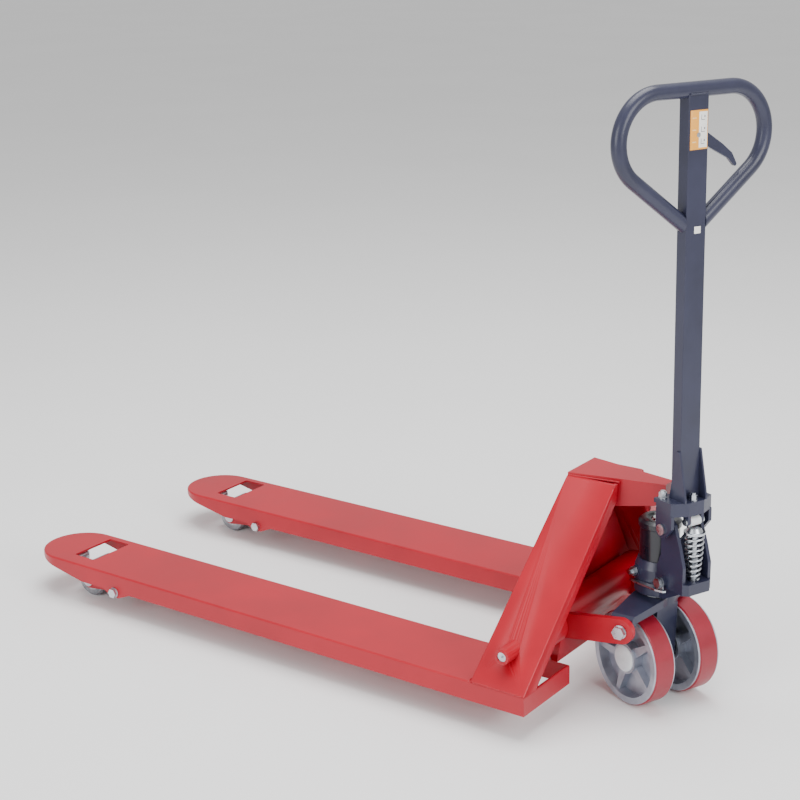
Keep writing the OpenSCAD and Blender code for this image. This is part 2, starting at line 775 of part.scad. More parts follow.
// Two ball bearings in the left hub
module wheel_bearings() {
    color(zinc) steered() translate([0, -(wheel_in + wheel_out) / 2, wheel_r]) rotate([90, 0, 0])
        bearing_pair(steer_wheel_w / 2, bearing_od, axle_d);
}

module wheel_bearings_left() { wheel_side(-1) wheel_bearings(); }
module wheel_bearings_right() { wheel_side(1) wheel_bearings(); }

// Domed cap over the left wheel's outer bearing
module hub_cap() {
    cap_r = 25;
    cap_t = 5.6;
    lip = 2;
    inside = 3.6;
    color(zinc) steered() translate([0, -wheel_out, wheel_r]) rotate([90, 0, 0]) rotate_extrude($fn = 72)
        polygon([
            [0, inside], [17, inside], [19, 1.2], [cap_r - 2, 1.2], [cap_r - 2, 0], [cap_r, 0], [cap_r, lip],
            for (a = [15 : 15 : 90]) [(cap_r - 1) * cos(a), lip + (cap_t - lip) * sin(a)]
        ]);
}

module hub_cap_left() { wheel_side(-1) hub_cap(); }
module hub_cap_right() { wheel_side(1) hub_cap(); }

// ---- pump ----

// Side outline of the pump's cheeks, from the foot up to the handle's hinge
module cheek_outline() {
    polygon([
        [cheek_back, foot_top - 20], [pump_reach - 8, foot_top - 20], [pump_reach - 8, foot_top + 31],
        [hinge_out + 34, hinge_z - 30], [hinge_out + 18, hinge_z + 10], [hinge_out + 8, hinge_z + 18],
        [hinge_out - 10, hinge_z + 16], [hinge_out - 16, hinge_z], [cheek_back + 10, foot_top + 39],
        [cheek_back, cyl_z]
    ]);
}

// Cast pump body: round pot, foot with chamfered nose and two cheeks
module pump_body() {
    pot_r = cylinder_d / 2 + 7.5;
    foot_low = foot_top - 21;
    color(dark) steered() difference() {
        union() {
            translate([0, 0, pump_z]) cylinder(h = foot_top - pump_z, r = pot_r);
            translate([0, 0, foot_top]) cylinder(h = cyl_z - foot_top, r1 = pot_r, r2 = cylinder_d / 2 + 2);
            translate([0, 0, foot_low]) linear_extrude(foot_top - foot_low) polygon([
                [0, -pump_half], [pump_reach - 9, -pump_half], [pump_reach, 9 - pump_half],
                [pump_reach, pump_half - 9], [pump_reach - 9, pump_half], [0, pump_half]
            ]);
            slab_y(6 - pump_half, 2 * pump_half - 12) polygon([
                [0, pump_z], [46, pump_z], [pump_reach - 12, foot_low + 2], [0, foot_low + 2]
            ]);
            for (s = [-1, 1]) {
                slab_y(s * (pump_half - cheek_t / 2) - cheek_t / 2, cheek_t) cheek_outline();
                rod_y(hinge_out, hinge_z, s * (pump_half + 3) - 3.4, 6.8, 26);
            }
            // bosses for the release valve and the side bolt
            rod_y(-10, 254, -46, 12, 20);
            rod_y(52, 251, -38, 12, 18);
        }
        translate([0, 0, pump_z - 1]) cylinder(h = 9, r = neck_r);
        rod_y(hinge_out, hinge_z, -60, 120, pin_d);
        rod_y(-10, 254, -60, 16, 10);
        rod_y(52, 251, -60, 32.2, 8);
        translate([0, 0, foot_top - 20]) cylinder(h = 60, r = ram_d / 2 + run_clear);
        translate([spring_out, 0, foot_top - 14]) cylinder(h = 20, r = barrel_r);
    }
}

// Cylinder barrel
module cylinder_barrel() {
    ring(ram_d / 2 + run_clear, cylinder_d / 2, cyl_z, cap_z - cyl_z, $fn = 96);
}

module cylinder_node() { color(dark) steered() cylinder_barrel(); }

// Screwed cap with the wiper seal at the top of the cylinder
module cylinder_cap() {
    r = cylinder_d / 2 + 3;
    color(black) steered() rotate_extrude($fn = 96) polygon([
        [ram_d / 2 + run_clear, cap_z], [r - 2, cap_z], [r, cap_z + 3], [r, cap_top - 5],
        [r - 6, cap_top], [ram_d / 2 + 8, cap_top], [ram_d / 2 + 4, cap_top - 3],
        [ram_d / 2 + run_clear, cap_top - 3]
    ]);
}

// Ram: chromed piston with the pushing spigot on top
module ram() {
    spigot_top = head_h - 40 + 9 - 0.6;
    color(zinc) steered() {
        translate([0, 0, foot_top - 19]) cylinder(h = cap_top - 4 - foot_top + 19, r = ram_d / 2);
        translate([0, 0, cap_top - 4]) cylinder(h = 4, r1 = ram_d / 2, r2 = ram_d / 2 - 4);
        translate([0, 0, cap_top]) cylinder(h = spigot_top - cap_top, r = spigot_r);
    }
}

// Small pump's barrel, standing inside the spring
module pump_barrel() {
    color(zinc) steered() translate([spring_out, 0, 0]) difference() {
        translate([0, 0, foot_top - 14]) cylinder(h = barrel_top - foot_top + 14, r = barrel_r);
        translate([0, 0, foot_top - 12]) cylinder(h = 100, r = plunger_r + run_clear);
    }
}

// Plunger that the handle pushes down, with its spring cap
module pump_plunger() {
    color(zinc) steered() translate([spring_out, 0, 0]) {
        translate([0, 0, barrel_top - 14]) cylinder(h = spring_top + 2 - barrel_top + 14, r = plunger_r);
        translate([0, 0, spring_top + 0.3]) cylinder(h = 4, r = spring_r + 1.5);
        translate([0, 0, spring_top + 4.3]) cylinder(h = 7, r1 = spring_r - 3, r2 = 11);
    }
}

spring_steps = 14;
wire_sides = 8;
// Point on the middle of the spring's wire, t from 0 at the foot to 1 at the cap
coil_low = foot_top + wire_r + 0.2;
coil_high = spring_top - wire_r - 0.2;
function coil_r(t) = spring_r - wire_r - 6 * pow(1 - t, 2);
function coil_point(t) = let (a = 360 * spring_turns * t)
    [coil_r(t) * cos(a), coil_r(t) * sin(a), coil_low + t * (coil_high - coil_low)];

// Return spring, wound a little narrower at its foot
module pump_spring() {
    n = round(spring_turns * spring_steps);
    points = [for (i = [0 : n], j = [0 : wire_sides - 1])
        let (a = 360 * spring_turns * i / n, b = 360 * j / wire_sides, c = coil_point(i / n))
            c + wire_r * [cos(b) * cos(a), cos(b) * sin(a), sin(b)]];
    sides = [for (i = [0 : n - 1], j = [0 : wire_sides - 1])
        let (k = (j + 1) % wire_sides)
            [i * wire_sides + j, (i + 1) * wire_sides + j, (i + 1) * wire_sides + k, i * wire_sides + k]];
    ends = [[for (j = [0 : wire_sides - 1]) j], [for (j = [wire_sides - 1 : -1 : 0]) n * wire_sides + j]];
    color(zinc) steered() translate([spring_out, 0, 0]) polyhedron(points, concat(sides, ends));
}

// Release valve screwed into the pump's left side
module release_valve() {
    color(zinc) steered() {
        rod_y(-10, 254, -58, 14, 10);
        hex_y(-10, 254, -56, 8, 15);
        rod_y(-10, 254, -62, 6, 8);
    }
}

// Lever that opens the release valve: a flat strip with a tab that turns on the side bolt
module release_lever() {
    strip_z = 235;
    color(zinc) steered() difference() {
        union() {
            translate([0, 0, strip_z]) linear_extrude(3.5) polygon([
                [-16, -55], [-4, -56], [48, -50], [64, -44], [66, -38.6], [44, -38.6], [10, -45], [-14, -45]
            ]);
            slab_y(-42.1, 3.5) union() {
                translate([52, 251]) circle(r = 9);
                translate([44, strip_z]) square([16, 251 - strip_z]);
            }
        }
        rod_y(52, 251, -70, 40, 8 + 2 * run_clear);
    }
}

// Side bolt of the release lever and the filler plug
module valve_bolts() {
    color(zinc) steered() {
        rod_y(52, 251, -43, 15, 8);
        hex_y(52, 251, -49.5, 6.5, 17);
    }
}

// Hinge pins of the handle, one in each cheek
module hinge_pins() {
    head_r = 10;
    pin_in = pump_half - cheek_t;
    pin_out = bracket_half + 0.5;
    color(zinc) steered() for (s = [-1, 1]) {
        rod_y(hinge_out, hinge_z, s * (pin_in + pin_out) / 2 - (pin_out - pin_in) / 2, pin_out - pin_in, pin_d);
        rod_y(hinge_out, hinge_z, s * (bracket_half + 2) - 1.5, 3, 2 * head_r);
    }
}

// ---- handle ----

// Plan of the handle's flange and of the bracket's top, with chamfered front corners
module bracket_plan(back) {
    polygon([
        [back, -bracket_half], [82, -bracket_half], [97, -17],
        [97, 17], [82, bracket_half], [back, bracket_half]
    ]);
}

roller_out = 92;
roller_z = 372.5;
roller_r = 9;
roller_lug = 12;

// Handle bracket: a block with two side plates on the hinge pins and two lugs for the pump roller
module handle_bracket() {
    color(dark) on_handle() difference() {
        union() {
            translate([0, 0, bracket_low]) linear_extrude(bracket_high - bracket_low) bracket_plan(42);
            for (s = [-1, 1]) {
                slab_y(s * (bracket_half - bracket_t / 2) - bracket_t / 2, bracket_t) union() {
                    translate([hinge_out, hinge_z]) circle(r = 16);
                    polygon([
                        [hinge_out - 16, hinge_z], [42, bracket_low + 1], [84, bracket_low + 1],
                        [84, hinge_z + 6], [hinge_out + 12, hinge_z - 10]
                    ]);
                }
                slab_y(s * (roller_lug + 3) - 3, 6) union() {
                    translate([roller_out - 3, roller_z]) circle(r = 7);
                    translate([roller_out - 10, roller_z]) square([14, bracket_low + 1 - roller_z]);
                }
            }
        }
        rod_y(hinge_out, hinge_z, -80, 160, pin_d + 2 * run_clear);
        rod_y(roller_out - 3, roller_z, -60, 120, 8);
    }
}

// Roller that presses the plunger down
module pump_roller() {
    color(zinc) on_handle()
        ring_y(roller_out - 3, roller_z, side_gap - roller_lug, 2 * (roller_lug - side_gap),
            4 + run_clear, roller_r);
}

// Pin of the pump roller
module pump_roller_pin() {
    half = roller_lug + 6;
    color(zinc) on_handle() {
        rod_y(roller_out - 3, roller_z, -half, 2 * half, 8);
        for (y = [-half - 3, half]) rod_y(roller_out - 3, roller_z, y, 3, 12);
    }
}

// Foot flange of the handle with two gussets beside the tube
module handle_flange() {
    gusset_t = 4;
    gusset_h = 90;
    color(dark) on_handle() {
        translate([0, 0, bracket_high]) linear_extrude(flange_t) bracket_plan(36);
        for (s = [-1, 1]) slab_y(s * (tube_w / 2 + gusset_t / 2) - gusset_t / 2, gusset_t) polygon([
            [tube_front - tube_depth, tube_foot - 0.5], [95, tube_foot - 0.5], [95, tube_foot + 6],
            [tube_front + 1, tube_foot + gusset_h], [tube_front - 8, tube_foot + gusset_h]
        ]);
    }
}

// Three screws that hold the handle's flange to the bracket
module flange_bolts() {
    color(zinc) on_handle() for (p = [[47, -35.5], [47, 35.5], [87, 0]]) translate([p[0], p[1], tube_foot]) {
        cylinder(h = 2, r = 8);
        translate([0, 0, 2]) cylinder(h = 9, d = 13 / cos(30), $fn = 6);
        translate([0, 0, 11]) cylinder(h = 3, r = 4.5);
    }
}

// Square tube of the handle with a slot for the lever, coped to the grip
module handle_tube() {
    color(dark) on_handle() difference() {
        translate([tube_front - tube_depth, -tube_w / 2, tube_foot])
            cube([tube_depth, tube_w, grip_top - tube_foot]);
        translate([tube_front - tube_depth + tube_wall, tube_wall - tube_w / 2, tube_foot - 1])
            cube([tube_depth - 2 * tube_wall, tube_w - 2 * tube_wall, grip_top - tube_foot + 2]);
        rod_y(tube_mid, grip_top, -60, 120, grip_d);
        translate([tube_mid - 4, 0, lever_z - 22]) cube([8, 60, 40]);
        translate([tube_mid, 0, lever_z]) rotate([0, 90, 0]) cylinder(h = 60, d = 8, center = true);
    }
}

// Half of the grip's bent tube on +Y; the bend is drawn a hair thinner than the straight lengths
module grip_half() {
    lap = 1;
    joint_y = tube_w / 2 - 6;
    d = [bend_y - joint_y, bend_z - joint_z];
    leg_angle = atan2(d[1], d[0]) - asin(bend_r / norm(d));
    leg_len = sqrt(norm(d) * norm(d) - bend_r * bend_r);
    translate([tube_mid, 0, 0]) {
        translate([0, bend_y, bend_z]) rotate([0, 90, 0]) rotate([0, 0, leg_angle])
            rotate_extrude(angle = 180 - leg_angle, $fn = 96) translate([bend_r, 0])
                circle(r = grip_r - 0.05, $fn = 32);
        translate([0, joint_y, joint_z]) rotate([leg_angle - 90, 0, 0])
            cylinder(h = leg_len + lap, r = grip_r, $fn = 32);
        translate([0, -1, grip_top]) rotate([-90, 0, 0])
            cylinder(h = bend_y + 1 + lap, r = grip_r, $fn = 32);
    }
}

// Grip: one bent tube, closed over the top and welded to both sides of the square tube
module grip_loop() {
    color(dark) on_handle() difference() {
        union() {
            grip_half();
            mirror([0, 1, 0]) grip_half();
        }
        translate([tube_mid - 40, -tube_w / 2, joint_z - 60]) cube([80, tube_w, grip_top - joint_z + 20]);
    }
}

lever_t = 6;
lever_arm = 14;

// Finger lever for raise, neutral and lower, with a stud that lifts the pull rod
module control_lever() {
    tip = [92, lever_z - 58];
    color(dark) on_handle() difference() {
        translate([tube_mid - lever_t / 2, 0, 0]) rotate([90, 0, 90]) {
            linear_extrude(lever_t) union() {
                link([0, lever_z], 9, [22, lever_z - 7], 10.5);
                link([22, lever_z - 7], 10.5, [58, lever_z - 28], 8.5);
                link([58, lever_z - 28], 8.5, [80, lever_z - 42], 6);
                link([80, lever_z - 42], 6, tip, 3.5);
            }
            translate([lever_arm, lever_z - 2, 0]) cylinder(h = lever_t + 5.4, r = 2);
        }
        translate([tube_mid, 0, lever_z]) rotate([0, 90, 0]) cylinder(h = 60, d = 8 + 2 * run_clear, center = true);
    }
}

// Pin of the finger lever
module lever_pin() {
    color(zinc) on_handle() translate([tube_front - tube_depth - 1.5, 0, lever_z]) rotate([0, 90, 0]) {
        cylinder(h = tube_depth + 3, d = 8);
        cylinder(h = 1.5, d = 12);
    }
}

// Rod inside the tube that carries the lever's pull down to the pump, hung on the lever's stud
module pull_rod() {
    n0 = tube_mid + lever_t / 2 + 0.6;
    eye_in = 3;
    color(zinc) on_handle() difference() {
        union() {
            translate([n0, lever_arm, lever_z - 2]) rotate([0, 90, 0]) cylinder(h = 3.6, r = 5);
            translate([n0 + 1.8, lever_arm, tube_foot + 6])
                cylinder(h = lever_z - 5 - tube_foot - 6, d = 3.6);
        }
        translate([n0 - 1, lever_arm, lever_z - 2]) rotate([0, 90, 0]) cylinder(h = 8, r = eye_in);
    }
}

fork_left();
fork_right();
upright_left();
upright_right();
head();
back_panel();
heel_shaft();
grease_nipples();
entry_roller_left();
entry_roller_right();
entry_roller_pins();
rocker();
rocker_bushes();
push_rod_left();
push_rod_right();
rod_pins();
load_arm_left();
load_arm_right();
load_arm_bolts();
load_wheel_left();
load_wheel_right();
load_bearings_left();
load_bearings_right();
load_axle_left();
load_axle_right();
base_yoke();
base_bolts();
thrust_bearing();
pump_body();
cylinder_node();  // cylinder
cylinder_cap();
ram();
wheel_carrier();
wheel_axle();
steer_tyre_left();
steer_tyre_right();
steer_hub_left();
steer_hub_right();
wheel_bearings_left();
wheel_bearings_right();
hub_cap_left();
hub_cap_right();
axle_rings();
pump_barrel();
pump_plunger();
pump_spring();
release_valve();
release_lever();
valve_bolts();
hinge_pins();
handle_bracket();
handle_tube();
grip_loop();
handle_flange();
flange_bolts();
pump_roller();
pump_roller_pin();
control_lever();
lever_pin();
pull_rod();
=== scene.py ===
# %% [markdown]
# # Pallet jack
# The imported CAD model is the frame. This script paints it, rounds its edges and adds the pieces
# that CAD leaves plain: folded fork edges, weld beads, a smooth spring and the handle's label.

# %%
import json
import math
import bpy
from mathutils import Matrix, Vector


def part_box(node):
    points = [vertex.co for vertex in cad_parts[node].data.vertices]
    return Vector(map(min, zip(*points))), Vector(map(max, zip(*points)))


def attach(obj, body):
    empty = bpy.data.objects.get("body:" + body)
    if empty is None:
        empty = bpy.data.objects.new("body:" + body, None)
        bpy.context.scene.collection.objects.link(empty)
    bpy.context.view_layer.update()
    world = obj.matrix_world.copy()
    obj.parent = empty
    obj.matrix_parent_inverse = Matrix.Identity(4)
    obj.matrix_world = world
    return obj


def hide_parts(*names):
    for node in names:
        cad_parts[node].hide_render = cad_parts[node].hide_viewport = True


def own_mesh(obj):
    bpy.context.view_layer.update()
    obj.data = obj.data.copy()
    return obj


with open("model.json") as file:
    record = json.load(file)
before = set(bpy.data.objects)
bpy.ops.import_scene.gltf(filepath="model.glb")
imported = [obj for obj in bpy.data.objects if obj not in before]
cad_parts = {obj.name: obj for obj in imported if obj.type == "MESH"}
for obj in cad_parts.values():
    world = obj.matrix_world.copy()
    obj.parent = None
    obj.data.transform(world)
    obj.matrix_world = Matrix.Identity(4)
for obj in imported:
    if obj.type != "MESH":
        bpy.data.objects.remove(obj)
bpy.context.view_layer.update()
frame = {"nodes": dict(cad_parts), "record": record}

nodes = frame["nodes"]

# %% [markdown]
# ## Camera, floor and light
# The camera stands ahead of the handle, at the operator's left and above the handle's top.

# %%
right = Vector((0.8134, 0.5816, -0.0138)).normalized()
back = right.cross(Vector((-0.1585, 0.2443, 0.9567))).normalized()
up = back.cross(right)
camera_data = bpy.data.cameras.new("camera")
camera_data.lens = 76.77
camera_data.sensor_width = 36
camera_data.clip_end = 200
camera = bpy.data.objects.new("camera", camera_data)
bpy.context.scene.collection.objects.link(camera)
camera_turn = Matrix((right, up, back)).transposed().to_4x4()
camera.matrix_world = Matrix.Translation((1.9362, -2.6340, 1.4653)) @ camera_turn
bpy.context.scene.camera = camera
print("camera at", tuple(round(v, 3) for v in camera.location))


# %%
def deselect():
    if bpy.context.object and bpy.context.object.mode != "OBJECT":
        bpy.ops.object.mode_set(mode="OBJECT")
    bpy.ops.object.select_all(action="DESELECT")


deselect()
bpy.ops.mesh.primitive_plane_add(size=60, location=(0, 0, 0))
floor = bpy.context.object
floor.name = "floor"

world = bpy.data.worlds.new("studio")
bpy.context.scene.world = world
world.use_nodes = True
background = world.node_tree.nodes["Background"]
background.inputs["Color"].default_value = (1.0, 1.0, 1.0, 1.0)
background.inputs["Strength"].default_value = 0.75


def area_light(name, place, target, size, power):
    data = bpy.data.lights.new(name, "AREA")
    data.size = size
    data.energy = power
    light = bpy.data.objects.new(name, data)
    light.location = place
    light.rotation_euler = (Vector(target) - Vector(place)).to_track_quat("-Z", "Y").to_euler()
    bpy.context.scene.collection.objects.link(light)


area_light("side", (-0.4, -4.0, 1.7), (0.1, 0, 0.2), 2.2, 80)
area_light("front", (3.6, -0.9, 2.0), (0.5, 0, 0.5), 1.8, 75)
area_light("top", (0.2, 0.3, 4.2), (0.1, 0, 0.1), 3.0, 190)
print("floor, world and three soft lights")

# %% [markdown]
# ## Materials
# Each one is a principled surface with its own grain, a slow change of tone and a roughness that
# varies with it. Sizes are real millimetres.

# %%
def linear(hex_color):
    parts = [int(hex_color[i:i + 2], 16) / 255 for i in (1, 3, 5)]
    return [c / 12.92 if c <= 0.04045 else ((c + 0.055) / 1.055) ** 2.4 for c in parts] + [1.0]


def add(material, kind, values=None, **settings):
    node = material.node_tree.nodes.new(kind)
    for name, value in settings.items():
        setattr(node, name, value)
    for name, value in (values or {}).items():
        if isinstance(value, bpy.types.NodeSocket):
            material.node_tree.links.new(value, node.inputs[name])
        else:
            node.inputs[name].default_value = value
    return node


def surface(name, light, dark, grain_mm, bump_mm, patch_mm, rough, extra=None, stretch=(1, 1, 1)):
    """A finish: light and dark are its two tones, rough its lowest and highest roughness."""
    material = bpy.data.materials.new(name)
    material.use_nodes = True
    material.node_tree.nodes.clear()
    place = add(material, "ShaderNodeTexCoord").outputs["Object"]
    spread = add(material, "ShaderNodeMapping", {"Vector": place, "Scale": stretch}).outputs["Vector"]
    grain = add(material, "ShaderNodeTexNoise", {"Vector": spread, "Scale": 1000 / grain_mm, "Detail": 3.0})
    patch = add(material, "ShaderNodeTexNoise", {"Vector": place, "Scale": 1000 / patch_mm, "Detail": 4.0})
    tone = add(material, "ShaderNodeMapRange", {
        "Value": patch.outputs["Fac"], "From Min": 0.35, "From Max": 0.65})
    color = add(material, "ShaderNodeMix", {"Factor": tone.outputs["Result"]}, data_type="RGBA")
    color.inputs["A"].default_value = linear(dark)
    color.inputs["B"].default_value = linear(light)
    roughness = add(material, "ShaderNodeMapRange", {
        "Value": patch.outputs["Fac"], "From Min": 0.3, "From Max": 0.7,
        "To Min": rough[0], "To Max": rough[1]})
    bump = add(material, "ShaderNodeBump", {
        "Height": grain.outputs["Fac"], "Strength": 1.0, "Distance": bump_mm / 1000})
    shader = add(material, "ShaderNodeBsdfPrincipled", {
        "Base Color": color.outputs["Result"], "Roughness": roughness.outputs["Result"],
        "Normal": bump.outputs["Normal"], **(extra or {})})
    add(material, "ShaderNodeOutputMaterial", {"Surface": shader.outputs["BSDF"]})
    return material


# %%
finishes = {
    # baked powder: an even red skin with a soft second gloss over it
    "frame_red": surface("gloss_red_powder_coat", "#ad0a22", "#a1081e", 1.6, 0.008, 130, (0.36, 0.44),
                         {"Coat Weight": 0.25, "Coat Roughness": 0.15, "Specular IOR Level": 0.3}),
    # enamel over castings: the finest grain of the metal still shows
    "unit_grey": surface("blue_grey_stove_enamel", "#2b2d44", "#25273c", 1.1, 0.015, 70, (0.34, 0.44),
                         {"Coat Weight": 0.25, "Coat Roughness": 0.2, "Specular IOR Level": 0.4}),
    # plated bolts and wire: bright, with a patchy shine
    "zinc": surface("bright_zinc_plate", "#cfd3d8", "#b4b8bf", 0.7, 0.004, 18, (0.22, 0.36),
                    {"Metallic": 1.0}),
    # ground and plated rods: nearly a mirror
    "chrome": surface("hard_chrome", "#dfe2e6", "#cfd3d8", 0.5, 0.001, 40, (0.06, 0.12),
                      {"Metallic": 1.0}),
    # wheel hubs as cast: pale and dull, with a coarse skin
    "alloy": surface("die_cast_aluminium", "#b9bdc8", "#a3a7b3", 1.2, 0.03, 25, (0.36, 0.5),
                     {"Metallic": 0.85}),
    # wheel treads: a little light goes into the plastic
    "tread": surface("moulded_polyurethane", "#94122a", "#880f24", 2.2, 0.02, 45, (0.38, 0.5),
                     {"Subsurface Weight": 0.08, "Subsurface Scale": 0.004, "Coat Weight": 0.15}),
    # plain bushes: porous and warm in tone
    "bronze": surface("sintered_bronze", "#a9793f", "#8d6433", 0.5, 0.01, 12, (0.4, 0.5),
                      {"Metallic": 1.0}),
    # hub caps: milky, with soft edges
    "cap": surface("white_nylon", "#e4e4e6", "#d8d9dc", 0.8, 0.006, 20, (0.3, 0.4),
                   {"Subsurface Weight": 0.1}),
    # the cylinder's paint: a broad, soft highlight
    "black": surface("black_satin_paint", "#10121f", "#0c0e1a", 1.0, 0.012, 40, (0.26, 0.36),
                     {"Coat Weight": 0.3}),
}
# bare machined steel: fine streaks drawn out across the truck
steel = surface("turned_steel", "#a9adb3", "#8d9197", 0.6, 0.008, 10, (0.3, 0.45),
                {"Metallic": 1.0}, (1, 0.05, 1))
white_paint = surface("white_floor", "#f4f4f4", "#f2f2f2", 40, 0.0, 900, (0.9, 0.95))
floor.data.materials.append(white_paint)

own_finish = {"load_wheel_left": steel, "load_wheel_right": steel, "cylinder": finishes["black"],
              "pump_barrel": steel}
for part in frame["record"]["subparts"]:
    node = nodes[part["node"]]
    node.data.materials.clear()
    node.data.materials.append(own_finish.get(part["node"], finishes[part["material_slot"]]))
print(len(finishes) + 2, "finishes on", len(nodes), "nodes")

# %% [markdown]
# ## Rounded edges
# No edge on the real truck is sharp. Each CAD node keeps its mesh and gets a small bevel as a
# modifier; cast pieces get a larger one than pressed or turned ones.

# %%
edge_mm = {
    "pump_body": 2.0, "handle_bracket": 1.6, "base_yoke": 1.5, "wheel_carrier": 1.5, "head": 1.6,
    "back_panel": 1.0, "rocker": 1.5, "steer_hub_left": 1.4, "steer_hub_right": 1.4, "control_lever": 1.6,
    "load_wheel_left": 1.2, "load_wheel_right": 1.2, "handle_flange": 1.2, "steer_tyre_left": 1.2,
    "steer_tyre_right": 1.2, "cylinder_cap": 1.0, "load_arm_left": 1.0, "load_arm_right": 1.0,
}
made_new = {"fork_left", "fork_right", "upright_left", "upright_right", "handle_tube", "pump_spring",
            "grip_loop"}
for name, node in nodes.items():
    if name in made_new:
        continue
    flat = node.modifiers.new("flat_faces", "DECIMATE")
    flat.decimate_type = "DISSOLVE"
    flat.angle_limit = math.radians(1.0)
    edge = node.modifiers.new("soft_edges", "BEVEL")
    edge.width = edge_mm.get(name, 0.5) / 1000
    edge.segments = 2
    edge.limit_method = "ANGLE"
    edge.angle_limit = math.radians(38)
    calm = node.modifiers.new("calm_faces", "WEIGHTED_NORMAL")
    calm.keep_sharp = True
print("soft edges on", len(nodes) - len(made_new), "nodes")

# %% [markdown]
# ## Folded and drawn pieces
# The forks, uprights and handle tube are folded or drawn, with a larger radius along their long
# edges only. Each starts from its CAD shape, and its folds are picked by place.

# %%
def on_body(piece, body, slot_name, *replaced):
    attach(piece, body)
    piece.data.materials.clear()
    piece.data.materials.append(finishes[slot_name])
    if replaced:
        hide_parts(*replaced)
    return piece


def from_cad(node_name, name):
    """A new piece with the CAD node's shape, its flat faces made whole, open in edit mode."""
    deselect()
    piece = bpy.data.objects.new(name, nodes[node_name].data.copy())
    bpy.context.scene.collection.objects.link(piece)
    bpy.context.view_layer.objects.active = piece
    piece.select_set(True)
    bpy.ops.object.mode_set(mode="EDIT")
    bpy.ops.mesh.select_mode(type="EDGE")
    bpy.ops.mesh.select_all(action="SELECT")
    bpy.ops.mesh.remove_doubles(threshold=0.00001)
    bpy.ops.mesh.dissolve_limited(angle_limit=math.radians(1.0))
    bpy.ops.mesh.select_all(action="DESELECT")
    return piece


fold_cosine = 0.8       # faces that turn more than about 37 degrees meet in a fold
close = 0.0004          # how near a point has to be to count as on a line


def bevel_where(piece, test, width, segments=4):
    """Bevels the sharp edges whose two ends pass the test."""
    bpy.ops.object.mode_set(mode="OBJECT")
    mesh = piece.data
    faces_of = {}
    for face in mesh.polygons:
        for key in face.edge_keys:
            faces_of.setdefault(key, []).append(face.normal)
    chosen = 0
    for vertex in mesh.vertices:
        vertex.select = False
    for face in mesh.polygons:
        face.select = False
    for edge in mesh.edges:
        a, b = (mesh.vertices[i].co for i in edge.vertices)
        near = faces_of.get(edge.key, [])
        sharp = len(near) == 2 and near[0].dot(near[1]) < fold_cosine
        edge.select = sharp and test(a, b)
        chosen += edge.select
    bpy.ops.object.mode_set(mode="EDIT")
    bpy.ops.mesh.bevel(offset=width, segments=segments, affect="EDGES", clamp_overlap=False)
    bpy.ops.mesh.select_all(action="DESELECT")
    return chosen


def close_piece(piece, small=0.0005):
    bpy.ops.object.mode_set(mode="OBJECT")
    if small:
        edge = piece.modifiers.new("small_edges", "BEVEL")
        edge.width = small
        edge.segments = 2
        edge.limit_method = "ANGLE"
        edge.angle_limit = math.radians(50)
        bpy.ops.object.modifier_apply(modifier=edge.name)
    bpy.ops.object.shade_smooth_by_angle(angle=math.radians(32))
    calm = piece.modifiers.new("calm_faces", "WEIGHTED_NORMAL")
    calm.keep_sharp = True
    bpy.ops.object.modifier_apply(modifier=calm.name)


# %%
for side in ("left", "right"):
    low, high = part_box("fork_" + side)
    middle, half = (low.y + high.y) / 2, (high.y - low.y) / 2
    nose = Vector((low.x + half, middle))

    def on_outline(point):
        if point.z < high.z - 0.0005:
            return False
        if point.x < nose.x:
            return abs((point.xy - nose).length - half) < close
        return abs(abs(point.y - middle) - half) < close

    fork = from_cad("fork_" + side, "fork_folded_" + side)
    folds = bevel_where(fork, lambda a, b: on_outline(a) and on_outline(b), 0.0038)
    close_piece(fork)
    on_body(fork, "chassis", "frame_red", "fork_" + side)
    print(fork.name, folds, "fold edges,", len(fork.data.polygons), "faces")

# %%
outer_y, fork_top = 0.310, 0.090        # the uprights' foot, out on the forks
head_y, head_top = 0.050, 0.421         # and their head end, in at the middle
slope = (outer_y - head_y) / (head_top - fork_top)
fold_length = 0.15
for side in ("left", "right"):
    upright = from_cad("upright_" + side, "upright_folded_" + side)

    def along(a, b):
        lower, upper = (a, b) if a.z < b.z else (b, a)
        face_y = outer_y - (upper.z - fork_top) * slope
        return upper.z - lower.z > fold_length and abs(abs(upper.y) - face_y) < 0.0006

    folds = bevel_where(upright, along, 0.0035)
    close_piece(upright)
    on_body(upright, "chassis", "frame_red", "upright_" + side)
    print(upright.name, folds, "fold edges")

# %%
tube = from_cad("handle_tube", "handle_tube_drawn")
folds = bevel_where(tube, lambda a, b: abs(a.z - b.z) > 0.3, 0.002, 3)
close_piece(tube, 0.0004)
on_body(tube, "handle", "unit_grey", "handle_tube")

loop = from_cad("grip_loop", "grip_loop_bent")
close_piece(loop, 0)
on_body(loop, "handle", "unit_grey", "grip_loop")
print("tube with", folds, "long corners, and the grip")

# %% [markdown]
# ## The spring
# A return spring of one drawn wire, wound narrower at its foot.

# %%
def wire(name, points, radius, thickness=None, sides=3):
    """A tube through the points; thickness gives each point's share of the radius."""
    deselect()
    bpy.ops.curve.primitive_bezier_curve_add(location=(0, 0, 0))
    piece = bpy.context.object
    piece.name = name
    curve = piece.data
    curve.dimensions = "3D"
    curve.splines.clear()
    spline = curve.splines.new("POLY")
    spline.points.add(len(points) - 1)
    for i, (target, point) in enumerate(zip(spline.points, points)):
        target.co = (*point, 1)
        target.radius = thickness[i] if thickness else 1.0
    curve.bevel_depth = radius
    curve.bevel_resolution = sides
    curve.use_fill_caps = True
    bpy.ops.object.convert(target="MESH")
    piece.data.name = name
    bpy.ops.object.shade_smooth_by_angle(angle=math.radians(60))
    return piece


